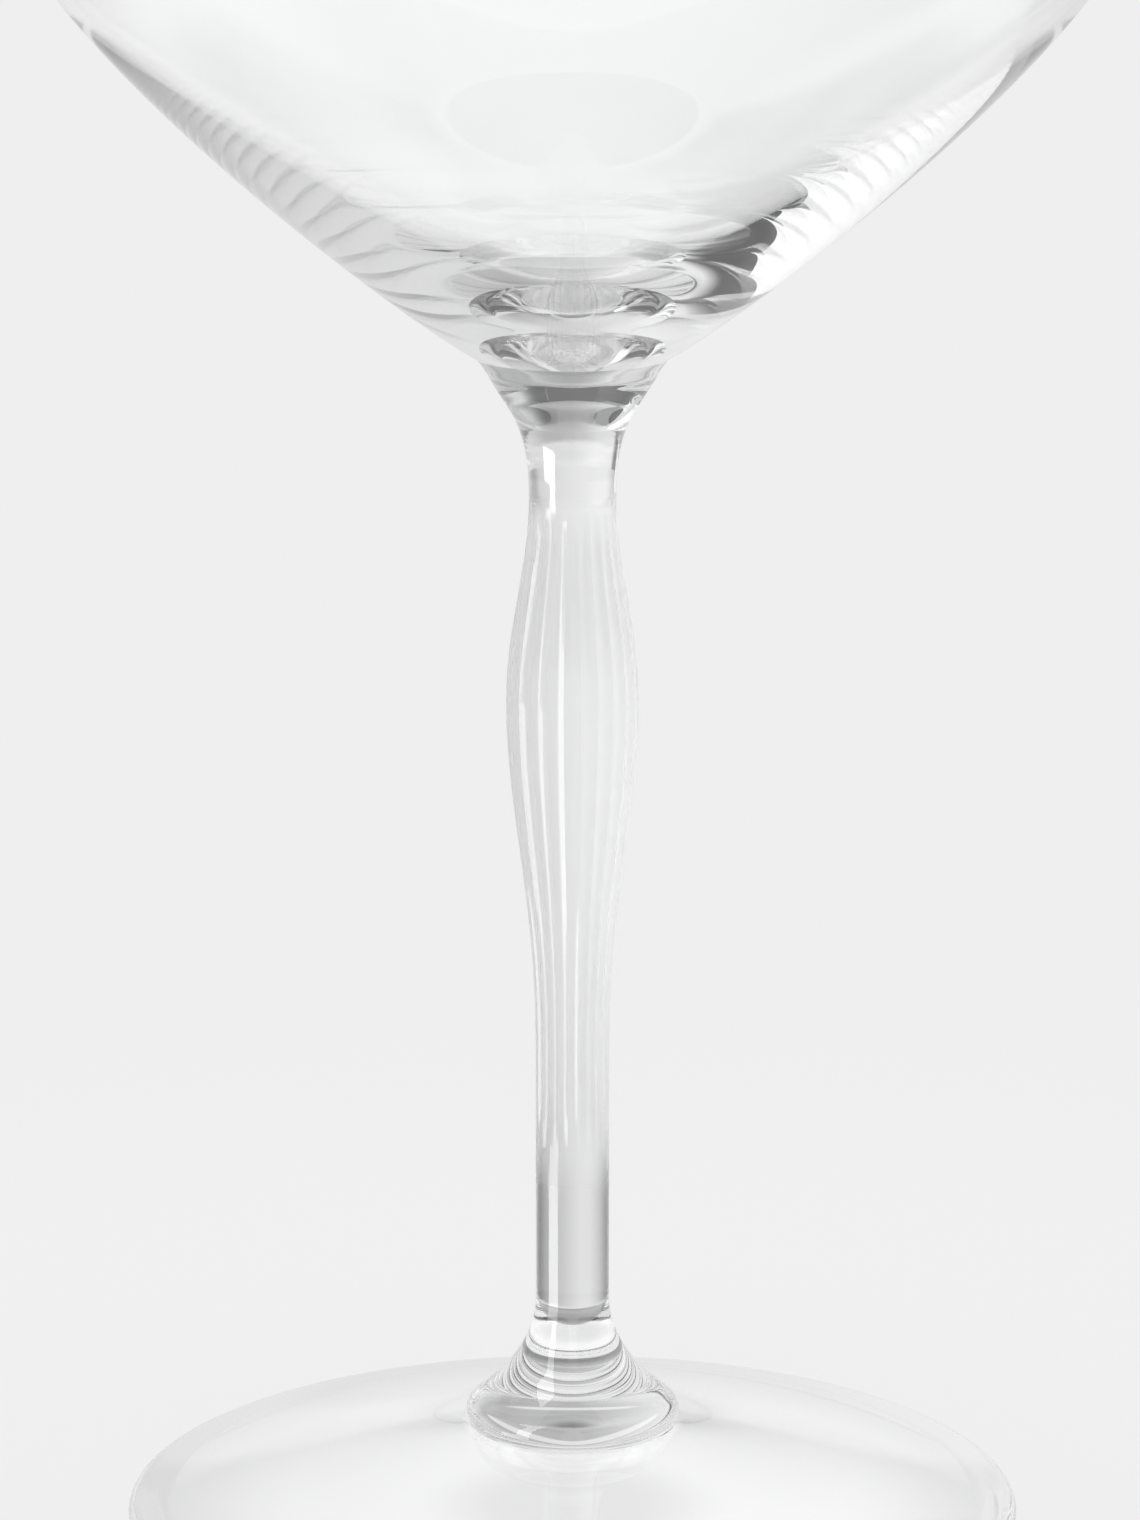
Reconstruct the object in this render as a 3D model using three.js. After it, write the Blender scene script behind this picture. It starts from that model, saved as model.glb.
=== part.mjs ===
// A large stemmed wine glass with a wide bowl, a swelling fluted stem and a round foot.
// Millimetres, +Z up. The glass stands on z = 0 and its axis is the Z axis.
import * as THREE from 'three';

// Foot: a thin disc that climbs to a flat seat, hollow underneath
const FOOT_RADIUS = 45;
const FOOT_HEIGHT = 9.7;
const FOOT_EDGE_THICKNESS = 1.8;
const FOOT_MIDDLE_THICKNESS = 1.3;
const HOLLOW_REACH = 5; // how far the top of the hollow stays level
const REST_RING_WIDTH = 3.2;
const FOOT_END_SLOPE = 0.8; // slope at both ends of the top, as a share of its mean slope

// Foot collar: a flare that ends in a rounded bead on the foot
const FOOT_COLLAR_HEIGHT = 12.8;
const BEAD_RADIUS = 10.8;
const BEAD_ROUNDING = 2.1;
const BEAD_WIDEST_HEIGHT = 0.9;
const BEAD_HEIGHT = 2.4;
const FLARE_LEAN = THREE.MathUtils.degToRad(54);
const FLARE_LOWER_REACH = 4.5;
const FLARE_UPPER_REACH = 4;

// Stem: a straight shaft, a long swelling and a slender neck
const SHAFT_RADIUS = 3.7;
const SWELLING_RADIUS = 6.6;
const NECK_RADIUS = 4.3;
const STEM_TOP_RADIUS = 5.65;
const SHAFT_LENGTH = 25;
const SWELLING_LOWER_LENGTH = 36.5;
const SWELLING_UPPER_LENGTH = 20.5;
const NECK_LENGTH = 7.5;
const NECK_OPENING_POWER = 2.5;
const SWELLING_POWER = 1.2; // above 1, the swelling gathers towards its widest part

// Flutes: shallow hollows side by side round the stem, faded out at both ends
const FLUTE_COUNT = 24;
const FLUTE_DEPTH = 0.22;
const FLUTES_BEGIN = 13.5;
const FLUTES_LOWER_FADE = 8;
const FLUTES_UPPER_FADE = 4;

// Bowl collar: the cone that carries the bowl, with a soft shoulder below its upper edge
const BOWL_COLLAR_HEIGHT = 6;
const BOWL_COLLAR_RADIUS = 9.4;
const SHOULDER_RADIUS = 8.2;
const SHOULDER_HEIGHT = 4.2;
const BOWL_COLLAR_LEAN_BELOW = THREE.MathUtils.degToRad(24);
const SHOULDER_LEAN = THREE.MathUtils.degToRad(26);
const BOWL_COLLAR_LEAN_ABOVE = THREE.MathUtils.degToRad(34);
const BOWL_COLLAR_REACH = 0.8; // how far the cone keeps each lean

// Bowl: a leaning lower wall, a round belly and a wall that draws in to the rim
const BOWL_HEIGHT = 118;
const BELLY_RADIUS = 55;
const BELLY_HEIGHT = 47;
const RIM_RADIUS = 38.5;
const RIM_WALL = 1.1;
const BELLY_WALL = 1.6;
const BASE_PAD = 2.2;
const WALL_LEAN_AT_BASE = THREE.MathUtils.degToRad(62);
const WALL_REACH_AT_BASE = 8;
const WALL_REACH_BELOW_BELLY = 13.6;
const WALL_REACH_ABOVE_BELLY = 28;
const WALL_LEAN_AT_RIM = THREE.MathUtils.degToRad(17);
const WALL_REACH_AT_RIM = 22;
const FLOOR_REACH = 8;
const INNER_REACH_BELOW_BELLY = 17.2;

// Facets round the axis
const BOWL_SIDES = 60;
const FOOT_SIDES = 60;
const COLLAR_SIDES = 48;
const SIDES_PER_FLUTE = 4;

// Each piece is fused to the next on a flat face at these heights.
const FOOT_SEAT = FOOT_HEIGHT;
const STEM_FOOT = FOOT_SEAT + FOOT_COLLAR_HEIGHT;
const STEM_LENGTH = SHAFT_LENGTH + SWELLING_LOWER_LENGTH + SWELLING_UPPER_LENGTH + NECK_LENGTH;
const STEM_TOP = STEM_FOOT + STEM_LENGTH;
const BOWL_BASE = STEM_TOP + BOWL_COLLAR_HEIGHT;

const glass = new THREE.MeshStandardMaterial({
  name: 'clear_glass', color: 0xeef0f0, roughness: 0.03, metalness: 0,
});
const satinGlass = new THREE.MeshStandardMaterial({
  name: 'satin_glass', color: 0xe4e6e6, roughness: 0.3, metalness: 0,
});

// A profile holds (radius, height) points, running up the outside of a piece from axis to axis.
const point = (radius, height) => new THREE.Vector2(radius, height);
const line = (from, to) => new THREE.LineCurve(from, to);
const bend = (from, out, back, to) => new THREE.CubicBezierCurve(from, out, back, to);

// Moves a point by a distance in a direction that leans outwards from straight up.
const lean = (from, angle, distance) =>
  point(from.x + distance * Math.sin(angle), from.y + distance * Math.cos(angle));

// Joins stretches of curve, each with its own number of steps, and drops the doubled end points.
function trace(...stretches) {
  const points = stretches.flatMap(([curve, steps]) => curve.getPoints(steps));
  return points.filter((p, i) => i === 0 || p.distanceTo(points[i - 1]) > 1e-6);
}

// Revolves a profile about the Z axis. The first facet corner faces the front, -Y.
function revolve(profile, sides) {
  return new THREE.LatheGeometry(profile, sides).rotateX(Math.PI / 2);
}

function piece(name, geometry, material, height) {
  const mesh = new THREE.Mesh(geometry, material);
  mesh.name = name;
  mesh.position.z = height;
  return mesh;
}

// The foot stands on a flat ring. The hollow under it follows the slope of its top and is rounded in the middle.
function makeFoot() {
  const round = FOOT_EDGE_THICKNESS / 2;
  const ringOuter = FOOT_RADIUS - round;
  const ringInner = ringOuter - REST_RING_WIDTH;
  const hollow = FOOT_HEIGHT - FOOT_MIDDLE_THICKNESS;
  const underMiddle = point(0, hollow);
  const ringInside = point(ringInner, 0);
  const topEdge = point(ringOuter, FOOT_EDGE_THICKNESS);
  const seatEdge = point(BEAD_RADIUS, FOOT_HEIGHT);
  const slope = (FOOT_HEIGHT - FOOT_EDGE_THICKNESS) / (ringOuter - BEAD_RADIUS);
  const third = (ringOuter - BEAD_RADIUS) / 3;
  const climb = third * slope * FOOT_END_SLOPE;
  const underThird = ringInner / 3;
  return revolve(trace(
    [bend(underMiddle, point(HOLLOW_REACH, hollow), point(2 * underThird, underThird * slope), ringInside), 7],
    [line(ringInside, point(ringOuter, 0)), 1],
    [new THREE.EllipseCurve(ringOuter, round, round, round, -Math.PI / 2, Math.PI / 2), 4],
    [bend(
      topEdge,
      point(ringOuter - third, FOOT_EDGE_THICKNESS + climb),
      point(BEAD_RADIUS + third, FOOT_HEIGHT - climb),
      seatEdge,
    ), 6],
    [line(seatEdge, point(0, FOOT_HEIGHT)), 1],
  ), FOOT_SIDES);
}

// The bead is part of a round whose widest ring lies just above the foot.
// The flare leaves it at a shallow crease and ends upright, flush with the shaft.
function makeFootCollar() {
  const beadCentre = BEAD_RADIUS - BEAD_ROUNDING;
  const beadFrom = -Math.asin(BEAD_WIDEST_HEIGHT / BEAD_ROUNDING);
  const beadTo = Math.asin((BEAD_HEIGHT - BEAD_WIDEST_HEIGHT) / BEAD_ROUNDING);
  const bead = new THREE.EllipseCurve(
    beadCentre, BEAD_WIDEST_HEIGHT, BEAD_ROUNDING, BEAD_ROUNDING, beadFrom, beadTo,
  );
  const contact = bead.getPoint(0);
  const crease = bead.getPoint(1);
  const top = point(SHAFT_RADIUS, FOOT_COLLAR_HEIGHT);
  return revolve(trace(
    [line(point(0, 0), contact), 1],
    [bead, 5],
    [bend(crease, lean(crease, -FLARE_LEAN, FLARE_LOWER_REACH), lean(top, 0, -FLARE_UPPER_REACH), top), 9],
    [line(top, point(0, FOOT_COLLAR_HEIGHT)), 1],
  ), COLLAR_SIDES);
}

// Goes smoothly from 0 to 1 as a height passes from one level to another, later with a power above 1.
function ease(height, from, to, power = 1) {
  const share = THREE.MathUtils.clamp((height - from) / (to - from), 0, 1);
  return (1 - Math.cos(Math.PI * share ** power)) / 2;
}

// The stem's radius over its ridges: a shaft, a swelling eased in and out, and a neck that opens upwards.
function stemRadius(height) {
  const widest = SHAFT_LENGTH + SWELLING_LOWER_LENGTH;
  const neck = widest + SWELLING_UPPER_LENGTH;
  if (height < widest) {
    const swelling = ease(height, SHAFT_LENGTH, widest, SWELLING_POWER);
    return THREE.MathUtils.lerp(SHAFT_RADIUS, SWELLING_RADIUS, swelling);
  }
  if (height < neck) {
    return THREE.MathUtils.lerp(SWELLING_RADIUS, NECK_RADIUS, ease(height, widest, neck));
  }
  const opening = (height - neck) / NECK_LENGTH;
  return THREE.MathUtils.lerp(NECK_RADIUS, STEM_TOP_RADIUS, opening ** NECK_OPENING_POWER);
}

// The flutes grow in along the shaft and are gone again where the neck is slimmest.
function fluteDepth(height) {
  const neck = STEM_LENGTH - NECK_LENGTH;
  const growing = ease(height, FLUTES_BEGIN, FLUTES_BEGIN + FLUTES_LOWER_FADE);
  const fading = 1 - ease(height, neck - FLUTES_UPPER_FADE, neck);
  return FLUTE_DEPTH * growing * fading;
}

// Presses the flutes into a revolved stem: each is a sine hollow between two ridges, and one faces the front.
function pressFlutes(geometry) {
  const position = geometry.attributes.position;
  for (let i = 0; i < position.count; i++) {
    const x = position.getX(i);
    const y = position.getY(i);
    const radius = Math.hypot(x, y);
    const hollow = Math.abs(Math.cos(FLUTE_COUNT / 2 * Math.atan2(x, -y)));
    const share = radius > 0 ? 1 - hollow * fluteDepth(position.getZ(i)) / radius : 1;
    position.setXY(i, x * share, y * share);
  }
  geometry.computeVertexNormals();
  return geometry;
}

function makeStem() {
  const widest = SHAFT_LENGTH + SWELLING_LOWER_LENGTH;
  const neck = widest + SWELLING_UPPER_LENGTH;
  const stretches = [
    [0, FLUTES_BEGIN, 1],
    [FLUTES_BEGIN, FLUTES_BEGIN + FLUTES_LOWER_FADE, 3],
    [FLUTES_BEGIN + FLUTES_LOWER_FADE, widest, 9],
    [widest, neck - FLUTES_UPPER_FADE, 5],
    [neck - FLUTES_UPPER_FADE, neck, 3],
    [neck, STEM_LENGTH, 4],
  ];
  const side = stretches.flatMap(([from, to, steps]) =>
    Array.from({ length: steps }, (_, i) => from + (to - from) * i / steps));
  const heights = [...side, STEM_LENGTH];
  const profile = [
    point(0, 0),
    ...heights.map((height) => point(stemRadius(height), height)),
    point(0, STEM_LENGTH),
  ];
  return pressFlutes(revolve(profile, FLUTE_COUNT * SIDES_PER_FLUTE));
}

function makeBowlCollar() {
  const bottom = point(STEM_TOP_RADIUS, 0);
  const shoulder = point(SHOULDER_RADIUS, SHOULDER_HEIGHT);
  const top = point(BOWL_COLLAR_RADIUS, BOWL_COLLAR_HEIGHT);
  return revolve(trace(
    [line(point(0, 0), bottom), 1],
    [bend(
      bottom,
      lean(bottom, BOWL_COLLAR_LEAN_BELOW, BOWL_COLLAR_REACH),
      lean(shoulder, SHOULDER_LEAN, -BOWL_COLLAR_REACH),
      shoulder,
    ), 6],
    [bend(
      shoulder,
      lean(shoulder, SHOULDER_LEAN, BOWL_COLLAR_REACH),
      lean(top, BOWL_COLLAR_LEAN_ABOVE, -BOWL_COLLAR_REACH),
      top,
    ), 4],
    [line(top, point(0, BOWL_COLLAR_HEIGHT)), 1],
  ), COLLAR_SIDES);
}

// The bowl is blown: the wall thickens towards the base, its floor lies just above the collar, and the rim is
// melted round.
function makeBowl() {
  const base = point(BOWL_COLLAR_RADIUS, 0);
  const belly = point(BELLY_RADIUS, BELLY_HEIGHT);
  const innerBelly = point(BELLY_RADIUS - BELLY_WALL, BELLY_HEIGHT);
  const round = RIM_WALL / 2;
  const rimOuter = point(RIM_RADIUS, BOWL_HEIGHT - round);
  const rimInner = point(RIM_RADIUS - RIM_WALL, BOWL_HEIGHT - round);
  const floor = point(0, BASE_PAD);
  return revolve(trace(
    [line(point(0, 0), base), 1],
    [bend(
      base,
      lean(base, WALL_LEAN_AT_BASE, WALL_REACH_AT_BASE),
      lean(belly, 0, -WALL_REACH_BELOW_BELLY),
      belly,
    ), 10],
    [bend(
      belly,
      lean(belly, 0, WALL_REACH_ABOVE_BELLY),
      lean(rimOuter, -WALL_LEAN_AT_RIM, -WALL_REACH_AT_RIM),
      rimOuter,
    ), 7],
    [new THREE.EllipseCurve(RIM_RADIUS - round, rimOuter.y, round, round, 0, Math.PI), 4],
    [bend(
      rimInner,
      lean(rimInner, -WALL_LEAN_AT_RIM, -WALL_REACH_AT_RIM),
      lean(innerBelly, 0, WALL_REACH_ABOVE_BELLY),
      innerBelly,
    ), 7],
    [bend(
      innerBelly,
      lean(innerBelly, 0, -INNER_REACH_BELOW_BELLY),
      point(FLOOR_REACH, BASE_PAD),
      floor,
    ), 10],
  ), BOWL_SIDES);
}

const wineGlass = new THREE.Group();
wineGlass.add(
  piece('foot', makeFoot(), glass, 0),
  piece('foot_collar', makeFootCollar(), glass, FOOT_SEAT),
  piece('stem', makeStem(), satinGlass, STEM_FOOT),
  piece('bowl_collar', makeBowlCollar(), glass, STEM_TOP),
  piece('bowl', makeBowl(), glass, BOWL_BASE),
);

export default wineGlass;
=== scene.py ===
"""A large stemmed wine glass of clear crystal, with a satin fluted stem, on a pale studio floor.

Every piece is a surface of revolution worked out on a grid of rows and columns, in metres, in the frame of
the packed solids. The pieces are fused to each other, so the flat faces inside the joints show nothing.
"""

import math
from typing import NamedTuple

import bpy
import numpy as np
from bpy.props import FloatProperty, FloatVectorProperty, IntProperty, PointerProperty
from bpy.types import NodeSocket, Operator, Panel, PropertyGroup
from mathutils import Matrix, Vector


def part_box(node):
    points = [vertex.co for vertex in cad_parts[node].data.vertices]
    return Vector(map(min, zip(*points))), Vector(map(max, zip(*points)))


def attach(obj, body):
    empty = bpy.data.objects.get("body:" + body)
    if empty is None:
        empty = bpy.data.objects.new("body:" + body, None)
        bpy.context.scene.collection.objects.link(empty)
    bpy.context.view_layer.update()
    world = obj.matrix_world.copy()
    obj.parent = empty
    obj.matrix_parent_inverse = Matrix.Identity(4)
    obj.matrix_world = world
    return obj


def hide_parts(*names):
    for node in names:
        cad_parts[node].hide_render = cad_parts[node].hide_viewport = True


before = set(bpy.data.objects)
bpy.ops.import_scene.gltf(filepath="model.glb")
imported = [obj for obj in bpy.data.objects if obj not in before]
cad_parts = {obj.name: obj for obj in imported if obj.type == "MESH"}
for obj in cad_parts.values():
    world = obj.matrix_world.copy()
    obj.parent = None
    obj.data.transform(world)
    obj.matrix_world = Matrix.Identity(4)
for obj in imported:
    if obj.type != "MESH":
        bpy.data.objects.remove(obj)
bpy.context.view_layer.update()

bl_info = {
    "name": "Stemmed Wine Glass",
    "version": (1, 0, 0),
    "blender": (4, 5, 0),
    "location": "3D View > Sidebar > Wine Glass",
    "description": "Builds a fused crystal wine glass and the stage it stands on",
    "category": "Add Mesh",
}

MM = 0.001

# Heights at which the pieces are fused, and the top of the rim, from the packed solids
FOOT_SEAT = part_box("foot")[1].z
STEM_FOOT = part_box("stem")[0].z
STEM_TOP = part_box("stem")[1].z
BOWL_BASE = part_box("bowl")[0].z
RIM_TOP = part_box("bowl")[1].z

# Columns of points once round a piece, and rows of points along the stretches of its profile
COLUMNS = 288
HOLLOW_ROWS = 60
REST_RING_ROWS = 3
FOOT_EDGE_ROWS = 16
FOOT_TOP_ROWS = 60
BEAD_ROWS = 24
FLARE_ROWS = 64
CONE_ROWS = 32
STEM_ROWS = 240
BOWL_OUTSIDE_ROWS = 132
BOWL_UPPER_ROWS = 28
RIM_ROWS = 10
BOWL_INSIDE_ROWS = 140

# Two points of a profile that are nearer to each other than this are one point
SAME_POINT = 1e-9

# An edge whose faces meet at more than this angle is shaded as a ridge
RIDGE_ANGLE = math.radians(16)

# How often light may be bent or mirrored on its way
LIGHT_BOUNCES = 96

# One wall bends a ray twice, so a ray that was bent more often has passed more than one piece of glass
BENDS_IN_ONE_WALL = 2.5

# A ray that was mirrored less often than this shows a first reflection
FIRST_REFLECTION = 1.5

# Width of the camera's frame in millimetres, and the distance from which it sees
FRAME_WIDTH = 36
SIGHT_START = 10 * MM

# Degrees once round the compass: 0 is straight behind the glass, -90 on the left, 180 towards the camera
FULL_TURN = 360

# Grey levels by compass angle, seen by rays that have met the glass
# The table round the foot, with painted light in the middle and painted shade, dark, on both sides
TABLE_LEVELS = (
    (-180, 0.8), (-120, 0.6), (-90, 0.45), (-80, 0.05), (-60, 0.06), (-48, 0.3), (-36, 0.55), (-20, 0.76),
    (-9, 0.76), (0, 0.67), (11, 0.55), (24, 0.47), (38, 0.32), (47, 0.16), (55, 0.05), (70, 0.06),
    (80, 0.85), (120, 0.85), (180, 0.8),
)
# The pale floor beyond the table, and its far part, with their painted light and shade
FLOOR_LEVELS = (
    (-180, 0.76), (-110, 0.72), (-80, 0.72), (-62, 0.88), (-40, 0.94), (-22, 0.9), (-10, 0.83), (0, 0.78),
    (10, 0.74), (25, 0.76), (38, 0.86), (55, 0.88), (80, 0.78), (180, 0.76),
)
FAR_LEVELS = (
    (-180, 0.76), (-120, 0.6), (-62, 0.5), (-50, 0.75), (-40, 0.92), (-22, 0.9), (-10, 0.83), (0, 0.78),
    (10, 0.74), (25, 0.73), (38, 0.65), (47, 0.4), (55, 0.32), (70, 0.45), (120, 0.7), (180, 0.76),
)
# The studio at table height, and higher up
LOW_STUDIO_LEVELS = (
    (-180, 0.8), (-172, 0.8), (-165, 0.08), (-70, 0.1), (-62, 0.05), (-54, 0.07), (-46, 0.92), (-21, 0.97),
    (0, 0.78), (24, 0.75), (50, 0.74), (96, 0.74), (145, 0.06), (165, 0.06), (172, 0.8), (180, 0.8),
)
HIGH_STUDIO_LEVELS = (
    (-180, 0.8), (-172, 0.8), (-165, 0.06), (-70, 0.06), (-62, 0.05), (-54, 0.07), (-46, 0.88), (-21, 0.78),
    (0, 0.48), (24, 0.48), (50, 0.74), (84, 0.74), (135, 0.05), (165, 0.05), (172, 0.8), (180, 0.8),
)


# Settings


def length(name, description, millimetres):
    """A size in metres, given in millimetres."""
    return FloatProperty(
        name=name, description=description, default=millimetres * MM, unit="LENGTH", subtype="DISTANCE"
    )


def vector(name, description, millimetres):
    """A place or a side in metres along X, Y and Z, given in millimetres."""
    return FloatVectorProperty(
        name=name, description=description, default=tuple(v * MM for v in millimetres),
        unit="LENGTH", subtype="TRANSLATION",
    )


def angle(name, description, degrees):
    """An angle in radians, given in degrees."""
    return FloatProperty(
        name=name, description=description, default=math.radians(degrees), unit="ROTATION", subtype="ANGLE"
    )


def share(name, description, value):
    """A number from 0 to 1."""
    return FloatProperty(name=name, description=description, default=value, min=0, max=1, subtype="FACTOR")


def level(name, description, value):
    """A brightness, where 1 is white."""
    return FloatProperty(name=name, description=description, default=value, min=0)


def number(name, description, value, least=0, unit="NONE"):
    """A number that is neither a size nor a share."""
    return FloatProperty(name=name, description=description, default=value, min=least, unit=unit)


class FootSizes(PropertyGroup):
    """Sizes of the round foot."""

    radius: length("Radius", "Widest radius of the foot", 45)
    edge: length("Edge thickness", "Thickness at the rounded edge", 1.8)
    middle: length("Middle thickness", "Thickness on the axis, under the seat", 1.3)
    hollow_reach: length("Hollow reach", "How far the top of the hollow stays level", 5)
    ring: length("Rest ring", "Width of the flat ring that the glass stands on", 3.2)
    end_slope: share("End slope", "Slope at both ends of the top, as a share of its mean slope", 0.8)


class FootCollarSizes(PropertyGroup):
    """Sizes of the flare and bead between foot and stem."""

    bead: length("Bead radius", "Widest radius of the bead", 10.8)
    rounding: length("Bead rounding", "Radius of the bead's section", 2.1)
    widest: length("Bead widest height", "Height of the bead's widest ring above the foot", 0.9)
    height: length("Bead height", "Height at which the flare leaves the bead", 2.4)
    lean: angle("Flare lean", "Lean of the flare where it leaves the bead", 54)
    lower_reach: length("Flare lower reach", "How far the flare keeps its lower lean", 4.5)
    upper_reach: length("Flare upper reach", "How far the flare keeps upright below the shaft", 4)


class StemSizes(PropertyGroup):
    """Sizes of the swelling stem and its flutes."""

    shaft: length("Shaft radius", "Radius of the straight shaft", 3.7)
    swelling: length("Swelling radius", "Radius at the widest part, over the ridges", 6.6)
    neck: length("Neck radius", "Radius where the neck is slimmest", 4.3)
    top: length("Top radius", "Radius where the collar of the bowl begins", 5.65)
    shaft_length: length("Shaft length", "Length of the straight shaft", 25)
    lower_length: length("Lower swelling", "Length from the shaft to the widest part", 36.5)
    upper_length: length("Upper swelling", "Length from the widest part to the neck", 20.5)
    opening_power: number("Neck opening", "Power with which the neck opens upwards", 2.5, 1)
    swelling_power: number("Swelling power", "Above 1, the swelling gathers at its widest part", 1.2, 1)
    flutes: IntProperty(name="Flutes", description="Number of flutes round the stem", default=24, min=3)
    depth: length("Flute depth", "Depth of a flute below its ridges", 0.22)
    begin: length("Flutes begin", "Height above the stem's foot at which the flutes begin", 13.5)
    lower_fade: length("Lower fade", "Length over which the flutes grow in", 8)
    upper_fade: length("Upper fade", "Length over which the flutes end below the neck", 4)


class BowlCollarSizes(PropertyGroup):
    """Sizes of the cone that carries the bowl."""

    radius: length("Radius", "Radius where the bowl begins", 9.4)
    shoulder: length("Shoulder radius", "Radius of the soft shoulder", 8.2)
    shoulder_height: length("Shoulder height", "Height of the shoulder above the stem", 4.2)
    lean_below: angle("Lean below", "Lean of the cone at the stem", 24)
    lean_shoulder: angle("Lean at the shoulder", "Lean of the cone at its shoulder", 26)
    lean_above: angle("Lean above", "Lean of the cone at the bowl", 34)
    reach: length("Reach", "How far the cone keeps each lean", 0.8)


class BowlSizes(PropertyGroup):
    """Sizes of the blown bowl."""

    belly: length("Belly radius", "Widest radius of the bowl", 55)
    belly_height: length("Belly height", "Height of the widest part above the bowl's base", 47)
    rim: length("Rim radius", "Radius of the rim", 38.5)
    rim_wall: length("Rim wall", "Thickness of the melted rim", 1.1)
    belly_wall: length("Belly wall", "Thickness of the wall at the belly", 1.6)
    base_wall: length("Base wall", "Height of the inner floor above the bowl's base", 2.2)
    base_lean: angle("Base lean", "Lean of the wall at the base", 62)
    base_reach: length("Base reach", "How far the wall keeps its lean at the base", 8)
    below_reach: length("Reach below belly", "How far the wall stays upright below the belly", 13.6)
    above_reach: length("Reach above belly", "How far the wall stays upright above the belly", 28)
    rim_lean: angle("Rim lean", "Lean of the wall at the rim, inwards", 17)
    rim_reach: length("Rim reach", "How far the wall keeps its lean at the rim", 22)
    floor_reach: length("Floor reach", "How far the floor of the bowl stays level", 8)
    inner_reach: length("Inner reach", "How far the inner wall stays upright below the belly", 17.2)


class GlassFinish(PropertyGroup):
    """Finish of the crystal."""

    tint: FloatVectorProperty(
        name="Tint", description="Colour that light takes on in the glass", size=3, subtype="COLOR",
        default=(0.985, 0.99, 0.988), min=0, max=1,
    )
    bending: number("Index of refraction", "How strongly the crystal bends light", 1.53, 1)
    shadow: share("Shadow tint", "Share of light that passes into the shadow", 0.93)
    polish: share("Polish roughness", "Roughness of the polished glass", 0.0)
    satin: share("Satin roughness", "Roughness of the satin on the flutes", 0.55)
    satin_foot: length("Satin foot", "Height at which the satin begins", 31)
    satin_top: length("Satin top", "Height at which the satin ends", 105.5)
    satin_foot_fade: length("Satin foot fade", "Length over which the satin grows in", 8)
    satin_top_fade: length("Satin top fade", "Length over which the satin fades into polish", 3.5)
    gloss: share("Gloss", "Weight of the polished gloss over the satin", 1.0)
    gloss_roughness: share("Gloss roughness", "Roughness of that gloss", 0.02)
    wave_scale: number("Wave scale", "Waves of the hot-worked surface in a metre", 90)
    wave_height: length("Wave height", "Height of those waves", 0.001)
    wave_detail: number("Wave detail", "How many finer waves lie on those waves", 1)
    wave_roughness: share("Wave roughness", "Height of each finer wave as a share of the one before", 0.4)
    grain_scale: number("Grain scale", "Grains of the satin in a metre", 2600)
    grain_height: length("Grain height", "Height of the satin grain", 0.006)
    grain_detail: number("Grain detail", "How many finer grains lie on those grains", 2)
    grain_roughness: share("Grain roughness", "Height of each finer grain, likewise", 0.6)


class CameraSettings(PropertyGroup):
    """Place and lens of the camera."""

    distance: length("Distance", "Distance of the camera from the axis", 550)
    height: length("Height", "Height of the camera above the table", 196.99)
    side: length("Side", "How far the camera stands to the right of the axis", -0.25)
    pitch: angle("Pitch", "How far the camera looks down", 12.215)
    lens: number("Lens", "Focal length in millimetres", 179.77, 1, "CAMERA")


class FloorSettings(PropertyGroup):
    """The floor, for the camera and through the glass, where it shows painted light and shade.
    Reaches are distances from the axis.
    """

    side: length("Side", "Side of the square floor", 12000)
    drop: length("Drop", "How far the floor lies below the foot", 0.1)
    background: level("Background", "Brightness of the floor and of what lies behind the glass", 0.863)
    paint: share("Paint", "Share of the lamp's light that the floor gives back", 0.8)
    shadow: share("Shadow share", "Share of the floor's brightness that a shadow can take away", 0.15)
    shadow_inside: length("Shadow inside", "Reach up to which shadows are at their deepest", 50)
    shadow_outside: length("Shadow outside", "Reach from which there are no shadows", 250)
    # Under the foot the floor is a painted pool of light, with a painted tilt that is brighter on the right
    near: level("Near floor", "Brightness of the floor under the foot", 1.02)
    near_light_tilt: level("Near floor tilt", "How much brighter it is at the right than in the middle", 0.1)
    near_side: length("Near floor side", "How far to each side that tilt goes on", 45)
    # Painted shadow on the floor under the bead
    core: share("Core floor", "Share of that brightness left under the bead", 0.84)
    bead_shadow_inside: length("Core inside", "Reach up to which the floor under the bead is at its darkest", 6)
    bead_shadow_outside: length("Core outside", "Reach from which the bead no longer darkens it", 17)
    # Painted shade on the floor under the foot's edge
    edge: share("Edge floor", "Share of that brightness left under the foot's edge", 0.82)
    edge_shade_inside: length("Edge inside", "Reach at which the floor under the edge begins to darken", 27)
    edge_shade_outside: length("Edge outside", "Reach from which it is at its darkest", 44)
    deep: level("Deep floor", "Brightness under the foot through more than one piece of glass", 0.22)
    near_end: length("Near floor end", "Reach at which the floor under the foot ends", 46)
    table_start: length("Table start", "Reach from which only the table shows", 56)
    table_end: length("Table end", "Reach at which the table ends", 150)
    pale_start: length("Pale floor start", "Reach from which only the pale floor shows", 240)
    pale_end: length("Pale floor end", "Reach at which the pale floor passes into its far part", 270)
    far_start: length("Far floor start", "Reach from which only the far part shows", 330)
    bowl_gain: level("Bowl gain", "How much brighter the pale floor looks through the whole bowl", 0.31)


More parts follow.
